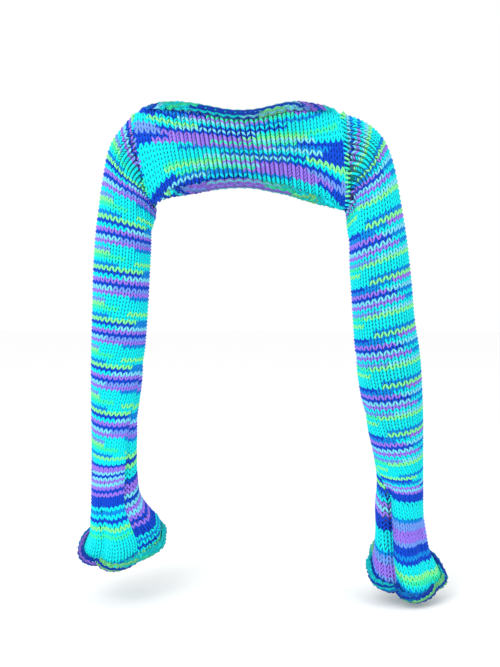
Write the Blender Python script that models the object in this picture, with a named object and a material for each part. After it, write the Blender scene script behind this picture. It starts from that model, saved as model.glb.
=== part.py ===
"""Open knitted shrug, worn shape: one back panel and two long bell sleeves.

Metres, +Z up. The back of the garment faces -Y, the wearer's left is at -X, and the
origin lies on the line of the shoulders, midway between the two armhole seams.
Each piece is a knitted wall of even thickness. A sleeve is a loft through its rings,
from the armhole down to the cuff, and the panel is a loft through upright lines of
stitches, from one armhole seam to the other. Bare edges roll to the knit side.
"""

import math

import bmesh
import bpy
import numpy as np

GARMENT = "knitted_shrug"

WALL = 0.003  # thickness of the cloth
SEAM_GAP = 0.0006  # between two sewn pieces along the sleeve, about half of it between their faces
SEAM_ALLOWANCE = 0.003  # flat strip of a sleeve next to its seam
ROLL_RADIUS = 0.004  # middle of the cloth in a rolled edge
ROLL_TURN = math.radians(262)  # how far a bare edge rolls
ROLL_STEPS = 6
AROUND_SLEEVE = 28  # faces round a sleeve
ROWS_A_FACE = 4.0  # knitted rows in one face along a sleeve
ACROSS_PANEL = 26
DOWN_PANEL = 12

# Angles round a sleeve run from its outer side (0) over the back (90) to the inner side (180).
SEAM_TOP = math.radians(13)  # where the panel's neck edge meets the sleeve
SEAM_FOOT = math.radians(152)  # where its hem does
FREE_EDGE = (math.radians(200), math.radians(346))  # rolled part of the armhole edge
FREE_EDGE_FADE = math.radians(42)  # over which the roll grows at either end

# A ring of a sleeve: the knitted row it lies on, the outer and the inner end of its width,
# how far its middle lies forward, half its depth, and how far its back point is pushed
# sideways and up from level.
RING = ("row", "outer_x", "outer_z", "inner_x", "inner_z", "forward", "half_depth", "back_x", "back_z")

LEFT_RINGS = (
    (0, -0.1543, -0.0109, -0.1283, -0.1450, 0.000, 0.0350, -0.0055, 0.000),
    (4, -0.1699, -0.0287, -0.1280, -0.1472, 0.000, 0.0405, -0.0050, 0.003),
    (8, -0.1844, -0.0486, -0.1280, -0.1493, 0.000, 0.0430, -0.0040, 0.006),
    (12, -0.1928, -0.0714, -0.1283, -0.1522, 0.000, 0.0435, -0.0030, 0.008),
    (16, -0.1974, -0.0949, -0.1295, -0.1558, 0.000, 0.0430, -0.0020, 0.008),
    (20, -0.2017, -0.1186, -0.1314, -0.1615, -0.001, 0.0420, -0.0010, 0.006),
    (24, -0.2050, -0.1422, -0.1327, -0.1716, -0.002, 0.0410, 0.0000, 0.004),
    (28, -0.2083, -0.1659, -0.1337, -0.1860, -0.003, 0.0405, 0.0000, 0.002),
    (36, -0.2123, -0.2132, -0.1358, -0.2255, -0.006, 0.0395, 0.0000, 0.000),
    (48, -0.2146, -0.2851, -0.1395, -0.2937, -0.010, 0.0385, 0.0000, 0.000),
    (64, -0.2178, -0.3824, -0.1482, -0.3875, -0.006, 0.0360, 0.0000, -0.004),
    (72, -0.2186, -0.4313, -0.1541, -0.4357, 0.000, 0.0340, 0.0000, -0.006),
    (80, -0.2192, -0.4815, -0.1580, -0.4852, 0.007, 0.0330, 0.0000, -0.007),
    (88, -0.2209, -0.5326, -0.1580, -0.5355, 0.015, 0.0325, 0.0000, -0.008),
    (94, -0.2224, -0.5710, -0.1524, -0.5710, 0.021, 0.0350, 0.0000, -0.010),
    (98, -0.2232, -0.5967, -0.1370, -0.5929, 0.025, 0.0410, 0.0000, -0.014),
    (102, -0.2252, -0.6222, -0.1262, -0.6063, 0.028, 0.0470, 0.0000, -0.019),
    (106, -0.2351, -0.6438, -0.1249, -0.6229, 0.030, 0.0520, 0.0000, -0.025),
)

RIGHT_RINGS = (
    (0, 0.1408, -0.0102, 0.1502, -0.1500, 0.000, 0.0350, 0.0015, 0.000),
    (4, 0.1626, -0.0173, 0.1503, -0.1515, 0.000, 0.0405, 0.0020, 0.003),
    (8, 0.1831, -0.0294, 0.1506, -0.1529, 0.000, 0.0435, 0.0020, 0.006),
    (12, 0.1984, -0.0457, 0.1509, -0.1550, 0.000, 0.0445, 0.0015, 0.008),
    (16, 0.2089, -0.0668, 0.1511, -0.1579, 0.000, 0.0445, 0.0010, 0.009),
    (20, 0.2158, -0.0896, 0.1513, -0.1630, -0.001, 0.0440, 0.0000, 0.008),
    (24, 0.2206, -0.1129, 0.1518, -0.1709, -0.002, 0.0435, 0.0000, 0.006),
    (28, 0.2247, -0.1365, 0.1525, -0.1831, -0.003, 0.0430, 0.0000, 0.004),
    (36, 0.2324, -0.1838, 0.1549, -0.2190, -0.006, 0.0430, 0.0000, 0.000),
    (48, 0.2404, -0.2548, 0.1590, -0.2800, -0.010, 0.0430, 0.0000, 0.000),
    (56, 0.2447, -0.3023, 0.1617, -0.3225, -0.011, 0.0430, 0.0000, -0.002),
    (64, 0.2525, -0.3501, 0.1656, -0.3667, -0.010, 0.0425, 0.0000, -0.004),
    (72, 0.2568, -0.3991, 0.1728, -0.4123, -0.006, 0.0410, 0.0000, -0.006),
    (80, 0.2596, -0.4489, 0.1829, -0.4591, 0.000, 0.0380, 0.0000, -0.007),
    (88, 0.2610, -0.4993, 0.1941, -0.5059, 0.007, 0.0350, 0.0000, -0.008),
    (94, 0.2622, -0.5374, 0.1992, -0.5419, 0.013, 0.0340, 0.0000, -0.009),
    (100, 0.2637, -0.5759, 0.1976, -0.5789, 0.019, 0.0340, 0.0000, -0.010),
    (106, 0.2656, -0.6177, 0.1977, -0.6192, 0.025, 0.0360, 0.0000, -0.012),
    (110, 0.2708, -0.6448, 0.1955, -0.6448, 0.028, 0.0410, 0.0000, -0.018),
    (115, 0.2912, -0.6868, 0.1924, -0.6693, 0.032, 0.0500, 0.0000, -0.028),
)

# A fold or ridge of a sleeve runs straight from one row and angle to another. Its height is
# outwards, so a trough's is below zero, and it fades over half_width and at its ends.
FOLD = ("from_row", "from_deg", "to_row", "to_deg", "height", "half_width_deg", "fade_rows")

LEFT_FOLDS = (
    (2, 150, 22, 128, -0.0050, 13, 6),  # tuck that runs out of the armpit over the back
    (14, 176, 26, 160, 0.0030, 12, 6),
    (10, 205, 30, 235, -0.0050, 14, 8),  # the same at the front
    (24, 186, 34, 150, -0.0030, 14, 6),
    (58, 196, 66, 150, -0.0025, 12, 6),  # soft creases inside the elbow
    (68, 160, 78, 200, -0.0025, 12, 6),
    (70, 146, 106, 116, -0.0035, 9, 10),  # along the join of the sleeve
    (92, 60, 112, 54, -0.0060, 11, 7),  # flutes of the bell
    (97, 20, 112, 26, 0.0025, 16, 7),
    (96, 88, 112, 86, 0.0045, 16, 6),
    (96, 152, 112, 150, 0.0050, 16, 6),
    (96, 212, 112, 214, -0.0060, 14, 7),
    (94, 262, 112, 258, 0.0050, 18, 7),
    (94, 308, 112, 312, -0.0060, 14, 7),
)

RIGHT_FOLDS = (
    (1, 120, 24, 146, -0.0060, 12, 6),  # fan of tucks out of the armpit
    (2, 92, 16, 118, -0.0035, 11, 5),
    (14, 168, 32, 152, -0.0040, 12, 6),
    (10, 206, 30, 236, -0.0050, 14, 8),  # the same at the front
    (26, 200, 38, 165, -0.0030, 14, 6),
    (60, 198, 68, 152, -0.0025, 12, 6),  # soft creases inside the elbow
    (72, 160, 82, 204, -0.0030, 12, 6),
    (94, 127, 121, 103, -0.0110, 11, 8),  # deep fold along the join of the sleeve
    (100, 90, 121, 80, 0.0035, 15, 7),
    (102, 150, 121, 138, 0.0045, 16, 7),
    (104, 40, 121, 36, -0.0045, 14, 7),  # flutes of the bell
    (104, 8, 121, 12, 0.0040, 15, 7),
    (104, 196, 121, 200, -0.0050, 15, 7),
    (102, 244, 121, 242, 0.0055, 17, 7),
    (102, 300, 121, 298, -0.0060, 15, 7),
)

# The panel's ends: where each is on its width, its sleeve, and 1 on the left or -1 on the right.
PANEL_ENDS = ((0.0, LEFT_RINGS, LEFT_FOLDS, 1), (1.0, RIGHT_RINGS, RIGHT_FOLDS, -1))

# The panel's bare edges before they roll, from the left seam to the right one.
EDGE = ("x", "y", "z")

NECK_EDGE = (
    (-0.1512, -0.008, -0.0132),
    (-0.1317, -0.020, -0.0084),
    (-0.1167, -0.030, -0.0050),
    (-0.0993, -0.038, -0.0035),
    (-0.0737, -0.046, -0.0058),
    (-0.0470, -0.052, -0.0112),
    (-0.0219, -0.056, -0.0164),
    (0.0031, -0.057, -0.0176),
    (0.0225, -0.056, -0.0154),
    (0.0406, -0.054, -0.0108),
    (0.0657, -0.049, -0.0049),
    (0.0799, -0.044, -0.0042),
    (0.1013, -0.034, -0.0062),
    (0.1204, -0.022, -0.0090),
    (0.1384, -0.008, -0.0111),
)

HEM_EDGE = (
    (-0.1288, -0.012, -0.1489),
    (-0.1194, -0.022, -0.1393),
    (-0.1060, -0.031, -0.1309),
    (-0.0913, -0.040, -0.1238),
    (-0.0733, -0.048, -0.1190),
    (-0.0556, -0.054, -0.1151),
    (-0.0267, -0.060, -0.1109),
    (-0.0039, -0.062, -0.1097),
    (0.0183, -0.062, -0.1110),
    (0.0378, -0.060, -0.1150),
    (0.0644, -0.054, -0.1205),
    (0.0943, -0.043, -0.1312),
    (0.1156, -0.031, -0.1417),
    (0.1325, -0.020, -0.1534),
    (0.1460, -0.012, -0.1575),
)

PANEL_BELLY = 0.010  # how far the middle of the panel's height stands out behind
SEAM_REACH = 0.30  # share of the width over which the panel turns into the shape of its seam
SIDE_STRETCH = 6 * math.pi  # the middle stitches are pulled twice as wide as those at the seams
SEAM_SAMPLES = 200  # points along a seam from which its even lengths are read
ROLL_END = 0.12  # share of the panel's roll that is left at its seams
ROLL_END_WIDTH = 0.07  # share of the panel's width over which the roll grows
ROLL_LEAN = 2.0  # how steeply the ends of the panel's rolls lean away from the sleeves

# Finishes: colour, roughness
YARN_PANEL = ((0.05, 0.42, 0.72, 1.0), 0.85)
YARN_SLEEVE = ((0.10, 0.45, 0.80, 1.0), 0.85)


def column(rows, names, name):
    """One named column of a table."""
    return np.array([row[names.index(name)] for row in rows], dtype=float)


def smooth_curve(knots, values, at):
    """Smooth curve through values at rising knots, carried on straight past its ends."""
    slopes = np.gradient(values, knots)
    place = np.clip(np.searchsorted(knots, at, side="right") - 1, 0, len(knots) - 2)
    width = knots[place + 1] - knots[place]
    share = (at - knots[place]) / width
    inside = np.clip(share, 0.0, 1.0)
    square = inside * inside
    cube = square * inside
    curve = (
        (2 * cube - 3 * square + 1) * values[place]
        + (cube - 2 * square + inside) * width * slopes[place]
        + (3 * square - 2 * cube) * values[place + 1]
        + (cube - square) * width * slopes[place + 1]
    )
    past = (share - inside) * width
    end_slope = np.where(share < 0.0, slopes[place], slopes[place + 1])
    return curve + past * end_slope


def fade(amount):
    """0 below 0, 1 above 1, and a smooth turn between."""
    inside = np.clip(amount, 0.0, 1.0)
    return inside * inside * (3.0 - 2.0 * inside)


def unit(vectors):
    """Vectors at length one."""
    return vectors / np.maximum(np.linalg.norm(vectors, axis=-1, keepdims=True), 1e-12)


def stacked(x, y, z):
    """Points from their three coordinates, which may be of unlike shapes."""
    return np.stack(np.broadcast_arrays(x, y, z), axis=-1).astype(float)


def fold_height(folds, row, angle):
    """How far all the folds together lift a sleeve at a row and an angle."""
    height = np.zeros(np.broadcast(row, angle).shape)
    for fold in folds:
        from_row, from_deg, to_row, to_deg, lift, half_width, fade_rows = fold
        along = (row - from_row) / (to_row - from_row)
        centre = np.radians(from_deg + (to_deg - from_deg) * along)
        away = (angle - centre + math.pi) % (2 * math.pi) - math.pi
        across = np.exp(-((away / math.radians(half_width)) ** 2))
        ends = fade((row - from_row) / fade_rows + 0.5) * fade((to_row - row) / fade_rows + 0.5)
        height = height + lift * across * ends
    return height


def sleeve_at(rings, folds, row, angle):
    """Points of a sleeve's cloth at knitted rows and angles."""
    rows = column(rings, RING, "row")
    values = {name: smooth_curve(rows, column(rings, RING, name), row) for name in RING[1:]}
    cosine = np.cos(angle)
    sine = np.sin(angle)
    half_x = (values["outer_x"] - values["inner_x"]) / 2
    half_z = (values["outer_z"] - values["inner_z"]) / 2
    out_x = cosine * half_x + sine * values["back_x"]
    out_y = -sine * values["half_depth"]
    out_z = cosine * half_z + sine * values["back_z"]
    outwards = unit(stacked(out_x, out_y, out_z))
    middle_x = (values["outer_x"] + values["inner_x"]) / 2
    middle_z = (values["outer_z"] + values["inner_z"]) / 2
    ring = stacked(middle_x + out_x, values["forward"] + out_y, middle_z + out_z)
    return ring + outwards * fold_height(folds, row, angle)[..., None]


def sleeve_frame(rings, folds, side, row, angle):
    """Points of a sleeve with the way down the sleeve and the way out of the cloth."""
    step = 1e-3
    point = sleeve_at(rings, folds, row, angle)
    down = unit(sleeve_at(rings, folds, row + step, angle) - sleeve_at(rings, folds, row - step, angle))
    round_it = sleeve_at(rings, folds, row, angle + step) - sleeve_at(rings, folds, row, angle - step)
    outwards = unit(np.cross(down, round_it)) * side
    return point, down, outwards


def rolled(point, off_edge, outwards, length, turn, share):
    """Cloth past an edge: length of it, which turns outwards through an angle by its end."""
    radius = length / np.maximum(turn, 1e-4)
    so_far = turn * share
    off = (radius * np.sin(so_far))[..., None]
    out = (radius * (1 - np.cos(so_far)))[..., None]
    facing = np.cos(so_far)[..., None] * outwards - np.sin(so_far)[..., None] * off_edge
    return point + off * off_edge + out * outwards, facing


def free_edge(angle):
    """1 where the armhole edge is bare and rolls, 0 where it is sewn."""
    start, end = FREE_EDGE
    return fade((angle - start) / FREE_EDGE_FADE) * fade((end - angle) / FREE_EDGE_FADE)


def armhole_edge(rings, folds, side, angle, share):
    """The sleeve's strip past its first ring: flat at the seam, rolled at the free edge."""
    point, down, outwards = sleeve_frame(rings, folds, side, np.zeros_like(angle), angle)
    bare = free_edge(angle)
    length = SEAM_ALLOWANCE + (ROLL_RADIUS * ROLL_TURN - SEAM_ALLOWANCE) * bare
    return rolled(point, -down, outwards, length, ROLL_TURN * bare, share)


def sleeve_grid(rings, folds, side):
    """Points and facings of a sleeve: armhole strip, rings down the arm, rolled cuff."""
    angle = np.arange(AROUND_SLEEVE) * 2 * math.pi / AROUND_SLEEVE
    last = column(rings, RING, "row")[-1]
    faces_down = int(round(last / ROWS_A_FACE))
    points = []
    facings = []
    for step in range(ROLL_STEPS, 0, -1):
        point, facing = armhole_edge(rings, folds, side, angle, step / ROLL_STEPS)
        points.append(point)
        facings.append(facing)
    for step in range(faces_down + 1):
        row = np.full_like(angle, last * step / faces_down)
        point, down, outwards = sleeve_frame(rings, folds, side, row, angle)
        points.append(point)
        facings.append(outwards)
    length = np.full_like(angle, ROLL_RADIUS * ROLL_TURN)
    turn = np.full_like(angle, ROLL_TURN)
    for step in range(1, ROLL_STEPS + 1):
        edge, facing = rolled(point, down, outwards, length, turn, step / ROLL_STEPS)
        points.append(edge)
        facings.append(facing)
    return np.array(points), np.array(facings)


def seam_line(rings, folds, side, share):
    """The armhole seam at shares of its length, with the way out of the cloth and down the sleeve."""
    angle = np.linspace(SEAM_TOP, SEAM_FOOT, SEAM_SAMPLES)
    line, facing = armhole_edge(rings, folds, side, angle, 1.0)
    lengths = np.concatenate(([0.0], np.cumsum(np.linalg.norm(np.diff(line, axis=0), axis=1))))
    angle = np.interp(share * lengths[-1], lengths, angle)
    down = sleeve_frame(rings, folds, side, np.zeros_like(angle), angle)[1]
    line, facing = armhole_edge(rings, folds, side, angle, 1.0)
    return line - down * SEAM_GAP, facing, down


def band_at(across, down):
    """The panel as a band between its two edges, before its sides are drawn to the seams."""
    place = across - np.sin(2 * math.pi * across) / SIDE_STRETCH
    edges = []
    for edge in (NECK_EDGE, HEM_EDGE):
        knots = column(edge, EDGE, "x")
        x = knots[0] + (knots[-1] - knots[0]) * place
        y = smooth_curve(knots, column(edge, EDGE, "y"), x)
        z = smooth_curve(knots, column(edge, EDGE, "z"), x)
        edges.append(stacked(x, y, z))
    point = edges[0] + (edges[1] - edges[0]) * down[..., None]
    point[..., 1] -= PANEL_BELLY * np.sin(math.pi * down)
    return point


def panel_at(across, down):
    """Points of the panel at shares of its width and of its height."""
    point = band_at(across, down)
    for end, rings, folds, side in PANEL_ENDS:
        seam = seam_line(rings, folds, side, down)[0]
        pull = 1 - fade(np.abs(across - end) / SEAM_REACH)
        point = point + pull[..., None] * (seam - band_at(np.full_like(down, end), down))
    return point


def panel_frame(across, down):
    """Points of the panel with the way down it and the way out of its knit side."""
    step = 1e-3
    low = np.clip(down - step, 0.0, 1.0)
    high = np.clip(down + step, 0.0, 1.0)
    down_it = unit(panel_at(across, high) - panel_at(across, low))
    left = np.clip(across - step, 0.0, 1.0)
    right = np.clip(across + step, 0.0, 1.0)
    across_it = unit(panel_at(right, down) - panel_at(left, down))
    outwards = unit(np.cross(down_it, across_it))
    for end, rings, folds, side in PANEL_ENDS:
        facing = seam_line(rings, folds, side, down)[1]
        outwards = np.where((across == end)[..., None], facing, outwards)
    return panel_at(across, down), down_it, outwards


def panel_edge(across, down, way):
    """The rolled strips past one bare edge of the panel, nearest first.

    The roll shrinks towards the seams, where it leans away from the sleeves.
    """
    point, down_it, outwards = panel_frame(across, np.full_like(across, down))
    off_edge = way * down_it
    for end, rings, folds, side in PANEL_ENDS:
        last = int(end) * ACROSS_PANEL
        down_sleeve = seam_line(rings, folds, side, np.array([down]))[2][0]
        along_sleeve = np.dot(off_edge[last], down_sleeve) * down_sleeve
        off_edge[last] = unit(off_edge[last] - along_sleeve - ROLL_LEAN * down_sleeve)
    from_seam = np.minimum(across, 1.0 - across)
    bare = ROLL_END + (1.0 - ROLL_END) * fade(from_seam / ROLL_END_WIDTH)
    length = ROLL_RADIUS * ROLL_TURN * bare
    strips = []
    for step in range(1, ROLL_STEPS + 1):
        strips.append(rolled(point, off_edge, outwards, length, ROLL_TURN * bare, step / ROLL_STEPS))
    return strips


def panel_grid():
    """Points and facings of the panel: rolled neck edge, rows down the back, rolled hem."""
    across = np.linspace(0.0, 1.0, ACROSS_PANEL + 1)
    strips = panel_edge(across, 0.0, -1)[::-1]
    for step in range(DOWN_PANEL + 1):
        point, down_it, outwards = panel_frame(across, np.full_like(across, step / DOWN_PANEL))
        strips.append((point, outwards))
    strips += panel_edge(across, 1.0, 1)
    points = np.array([point for point, facing in strips])
    facings = np.array([facing for point, facing in strips])
    return points, facings


def knitted_wall(name, points, facings, is_tube):
    """A closed wall of even thickness about a grid of points, joined round if it is a tube."""
    rows, columns = points.shape[:2]
    mesh = bmesh.new()
    skins = []
    for way in (0.5, -0.5):
        places = points + facings * WALL * way
        skins.append([[mesh.verts.new(place) for place in row] for row in places])
    outer, inner = skins
    spans = [(i, (i + 1) % columns) for i in range(columns if is_tube else columns - 1)]
    for skin in skins:
        for upper, lower in zip(skin, skin[1:]):
            for a, b in spans:
                mesh.faces.new((upper[a], upper[b], lower[b], lower[a]))
    for end in (0, rows - 1):
        for a, b in spans:
            mesh.faces.new((outer[end][a], outer[end][b], inner[end][b], inner[end][a]))
    if not is_tube:
        for end in (0, columns - 1):
            for row in range(rows - 1):
                corners = (outer[row][end], outer[row + 1][end], inner[row + 1][end], inner[row][end])
                mesh.faces.new(corners)
    bmesh.ops.recalc_face_normals(mesh, faces=mesh.faces)
    data = bpy.data.meshes.new(name)
    mesh.to_mesh(data)
    mesh.free()
    data.shade_smooth()
    data.set_sharp_from_angle(angle=math.radians(60))
    return bpy.data.objects.new(name, data)


def yarn(name, colour, roughness):
    """Matt dyed wool."""
    material = bpy.data.materials.new(name)
    material.use_nodes = True
    shader = material.node_tree.nodes["Principled BSDF"]
    shader.inputs["Base Color"].default_value = colour
    shader.inputs["Roughness"].default_value = roughness
    shader.inputs["Metallic"].default_value = 0.0
    return material


def back_panel():
    """The band across the shoulder blades."""
    panel = knitted_wall("back_panel", *panel_grid(), is_tube=False)
    panel.data.materials.append(yarn("panel_yarn", *YARN_PANEL))
    return panel


def sleeve(name, rings, folds, side):
    """One sleeve, from its armhole to its bell cuff."""
    tube = knitted_wall(name, *sleeve_grid(rings, folds, side), is_tube=True)
    tube.data.materials.append(yarn(name + "_yarn", *YARN_SLEEVE))
    return tube


for stray in list(bpy.data.objects):
    bpy.data.objects.remove(stray, do_unlink=True)

garment = bpy.data.collections.new(GARMENT)
bpy.context.scene.collection.children.link(garment)
garment.objects.link(back_panel())
garment.objects.link(sleeve("sleeve_left", LEFT_RINGS, LEFT_FOLDS, 1))
garment.objects.link(sleeve("sleeve_right", RIGHT_RINGS, RIGHT_FOLDS, -1))
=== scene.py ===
"""Open knitted shrug in its worn shape, with every stitch a loop of dyed yarn.

Two long bell sleeves and the back panel between them. Each piece has a thin ground
cloth on the garment's form and, through it, its rows of knitted loops, knit side out.
Metres, +Z up; the back of the garment faces -Y and the wearer's left is at -X.
"""

import math

import bmesh
import bpy
import numpy as np
from mathutils import Matrix, Vector


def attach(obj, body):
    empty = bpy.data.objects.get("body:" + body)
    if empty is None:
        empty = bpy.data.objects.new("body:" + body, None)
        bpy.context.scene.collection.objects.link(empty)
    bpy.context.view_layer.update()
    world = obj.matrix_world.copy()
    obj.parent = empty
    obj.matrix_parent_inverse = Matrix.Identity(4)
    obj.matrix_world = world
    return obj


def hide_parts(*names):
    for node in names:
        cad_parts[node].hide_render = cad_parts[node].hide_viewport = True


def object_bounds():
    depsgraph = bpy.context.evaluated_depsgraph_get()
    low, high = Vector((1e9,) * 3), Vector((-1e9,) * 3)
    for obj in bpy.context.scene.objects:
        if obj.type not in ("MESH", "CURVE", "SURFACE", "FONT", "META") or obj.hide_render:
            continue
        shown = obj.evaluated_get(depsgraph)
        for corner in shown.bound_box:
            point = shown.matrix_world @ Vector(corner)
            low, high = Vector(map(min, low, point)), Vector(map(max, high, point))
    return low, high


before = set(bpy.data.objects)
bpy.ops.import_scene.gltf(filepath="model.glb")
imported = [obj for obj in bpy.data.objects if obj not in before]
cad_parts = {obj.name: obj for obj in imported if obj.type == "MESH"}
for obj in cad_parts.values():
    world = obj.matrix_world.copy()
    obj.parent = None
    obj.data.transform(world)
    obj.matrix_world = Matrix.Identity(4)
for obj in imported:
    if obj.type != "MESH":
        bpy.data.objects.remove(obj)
cad_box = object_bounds()

# ---------------------------------------------------------------------------------------
# Wearer's left sleeve. A tube of stockinette in bulky yarn, widened to a bell at the cuff
# by added stitches and joined along the inside of the arm. Its bare edges, at the cuff
# and round the front of the shoulder, roll to the knit side.
# ---------------------------------------------------------------------------------------

TURN = 2 * math.pi
ROW = 0.006  # height of one row of the tables of rings, folds and joins: a ring row
ROLL_RADIUS = 0.004
ROLL_TURN = math.radians(262)  # how far round a bare edge curls
ROLL_LENGTH = ROLL_RADIUS * ROLL_TURN
SEAM_ALLOWANCE = 0.003  # flat strip of a sleeve next to its seam

# Angles round a sleeve run from its outer side (0) over the back (90) to the inner side (180).
FREE_EDGE = (math.radians(200), math.radians(346))  # rolled part of the armhole edge
FREE_EDGE_FADE = math.radians(42)

# A ring of a sleeve: its ring row, the outer and the inner end of its width, how far its
# middle lies forward, half its depth, and how far its back point is pushed sideways and up
# from level.
RING = ("row", "outer_x", "outer_z", "inner_x", "inner_z", "forward", "half_depth", "back_x", "back_z")

LEFT_RINGS = (
    (0, -0.1543, -0.0109, -0.1283, -0.1450, 0.000, 0.0350, -0.0055, 0.000),
    (4, -0.1699, -0.0287, -0.1280, -0.1472, 0.000, 0.0405, -0.0050, 0.003),
    (8, -0.1844, -0.0486, -0.1280, -0.1493, 0.000, 0.0430, -0.0040, 0.006),
    (12, -0.1928, -0.0714, -0.1283, -0.1522, 0.000, 0.0435, -0.0030, 0.008),
    (16, -0.1974, -0.0949, -0.1295, -0.1558, 0.000, 0.0430, -0.0020, 0.008),
    (20, -0.2017, -0.1186, -0.1314, -0.1615, -0.001, 0.0420, -0.0010, 0.006),
    (24, -0.2050, -0.1422, -0.1327, -0.1716, -0.002, 0.0410, 0.0000, 0.004),
    (28, -0.2083, -0.1659, -0.1337, -0.1860, -0.003, 0.0405, 0.0000, 0.002),
    (36, -0.2123, -0.2132, -0.1358, -0.2255, -0.006, 0.0395, 0.0000, 0.000),
    (48, -0.2146, -0.2851, -0.1395, -0.2937, -0.010, 0.0385, 0.0000, 0.000),
    (64, -0.2178, -0.3824, -0.1482, -0.3875, -0.006, 0.0360, 0.0000, -0.004),
    (72, -0.2186, -0.4313, -0.1541, -0.4357, 0.000, 0.0340, 0.0000, -0.006),
    (80, -0.2192, -0.4815, -0.1580, -0.4852, 0.007, 0.0330, 0.0000, -0.007),
    (88, -0.2209, -0.5326, -0.1580, -0.5355, 0.015, 0.0325, 0.0000, -0.008),
    (94, -0.2224, -0.5710, -0.1524, -0.5710, 0.021, 0.0350, 0.0000, -0.010),
    (98, -0.2232, -0.5967, -0.1370, -0.5929, 0.025, 0.0410, 0.0000, -0.014),
    (102, -0.2252, -0.6222, -0.1262, -0.6063, 0.028, 0.0470, 0.0000, -0.019),
    (106, -0.2351, -0.6438, -0.1249, -0.6229, 0.030, 0.0520, 0.0000, -0.025),
)

# A fold or ridge of a sleeve runs straight from one ring row and angle to another. Its height
# is outwards, so a trough's is below zero, and it fades over half_width and at its ends.
FOLD = ("from_row", "from_deg", "to_row", "to_deg", "height", "half_width_deg", "fade_rows")

LEFT_FOLDS = (
    (2, 150, 22, 128, -0.0050, 13, 6),  # tuck that runs out of the armpit over the back
    (14, 176, 26, 160, 0.0030, 12, 6),
    (10, 205, 30, 235, -0.0050, 14, 8),  # the same at the front
    (24, 186, 34, 150, -0.0030, 14, 6),
    (58, 196, 66, 150, -0.0025, 12, 6),  # soft creases inside the elbow
    (68, 160, 78, 200, -0.0025, 12, 6),
    (70, 146, 106, 116, -0.0035, 9, 10),  # along the join of the sleeve
    (92, 60, 112, 54, -0.0060, 11, 7),  # flutes of the bell
    (97, 20, 112, 26, 0.0025, 16, 7),
    (96, 88, 112, 86, 0.0045, 16, 6),
    (96, 152, 112, 150, 0.0050, 16, 6),
    (96, 212, 112, 214, -0.0060, 14, 7),
    (94, 262, 112, 258, 0.0050, 18, 7),
    (94, 308, 112, 312, -0.0060, 14, 7),
)


def column(rows, names, name):
    """One named column of a table."""
    return np.array([row[names.index(name)] for row in rows], dtype=float)


def smooth_curve(knots, values, at):
    """Smooth curve through values at rising knots, carried on straight past its ends."""
    slopes = np.gradient(values, knots)
    place = np.clip(np.searchsorted(knots, at, side="right") - 1, 0, len(knots) - 2)
    width = knots[place + 1] - knots[place]
    share = (at - knots[place]) / width
    inside = np.clip(share, 0.0, 1.0)
    square = inside * inside
    cube = square * inside
    curve = (
        (2 * cube - 3 * square + 1) * values[place]
        + (cube - 2 * square + inside) * width * slopes[place]
        + (3 * square - 2 * cube) * values[place + 1]
        + (cube - square) * width * slopes[place + 1]
    )
    past = (share - inside) * width
    end_slope = np.where(share < 0.0, slopes[place], slopes[place + 1])
    return curve + past * end_slope


def fade(amount):
    """0 below 0, 1 above 1, and a smooth turn between."""
    inside = np.clip(amount, 0.0, 1.0)
    return inside * inside * (3.0 - 2.0 * inside)


TINY = 1e-12  # keeps a division by a length of nothing safe


def unit(vectors):
    """Vectors at length one."""
    return vectors / np.maximum(np.linalg.norm(vectors, axis=-1, keepdims=True), TINY)


def stacked(x, y, z):
    """Points from their three coordinates, which may be of unlike shapes."""
    return np.stack(np.broadcast_arrays(x, y, z), axis=-1).astype(float)


def fold_height(folds, row, angle):
    """How far all the folds together lift a sleeve at a ring row and an angle."""
    height = np.zeros(np.broadcast(row, angle).shape)
    for fold in (dict(zip(FOLD, values)) for values in folds):
        from_start = row - fold["from_row"]
        to_end = fold["to_row"] - row
        along = from_start / (fold["to_row"] - fold["from_row"])
        centre = np.radians(fold["from_deg"] + (fold["to_deg"] - fold["from_deg"]) * along)
        away = (angle - centre + math.pi) % TURN - math.pi
        across = np.exp(-((away / math.radians(fold["half_width_deg"])) ** 2))
        ends = fade(from_start / fold["fade_rows"] + 0.5) * fade(to_end / fold["fade_rows"] + 0.5)
        height = height + fold["height"] * across * ends
    return height


def sleeve_at(sleeve, row, angle):
    """Points of a sleeve's cloth at ring rows and angles."""
    rows = column(sleeve.rings, RING, "row")
    values = {name: smooth_curve(rows, column(sleeve.rings, RING, name), row) for name in RING[1:]}
    cosine = np.cos(angle)
    sine = np.sin(angle)
    half_x = (values["outer_x"] - values["inner_x"]) / 2
    half_z = (values["outer_z"] - values["inner_z"]) / 2
    out_x = cosine * half_x + sine * values["back_x"]
    out_y = -sine * values["half_depth"]
    out_z = cosine * half_z + sine * values["back_z"]
    outwards = unit(stacked(out_x, out_y, out_z))
    middle_x = (values["outer_x"] + values["inner_x"]) / 2
    middle_z = (values["outer_z"] + values["inner_z"]) / 2
    ring = stacked(middle_x + out_x, values["forward"] + out_y, middle_z + out_z)
    return ring + outwards * fold_height(sleeve.folds, row, angle)[..., None]


FLAT_TURN = 1e-4  # an edge that curls less than this is flat


def rolled(point, off_edge, outwards, length, turn, share):
    """Cloth past an edge: length of it, which turns outwards through an angle by its end."""
    radius = length / np.maximum(turn, FLAT_TURN)
    so_far = turn * share
    off = (radius * np.sin(so_far))[..., None]
    out = (radius * (1 - np.cos(so_far)))[..., None]
    facing = np.cos(so_far)[..., None] * outwards - np.sin(so_far)[..., None] * off_edge
    return point + off * off_edge + out * outwards, facing


# The join runs down the inside of the arm and turns to the back over the forearm: its angle
# at ring rows.
JOIN = ("row", "degrees")
LEFT_JOIN = ((0, 196), (50, 192), (60, 172), (69, 150), (80, 132), (88, 122), (98, 114), (110, 124))

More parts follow.
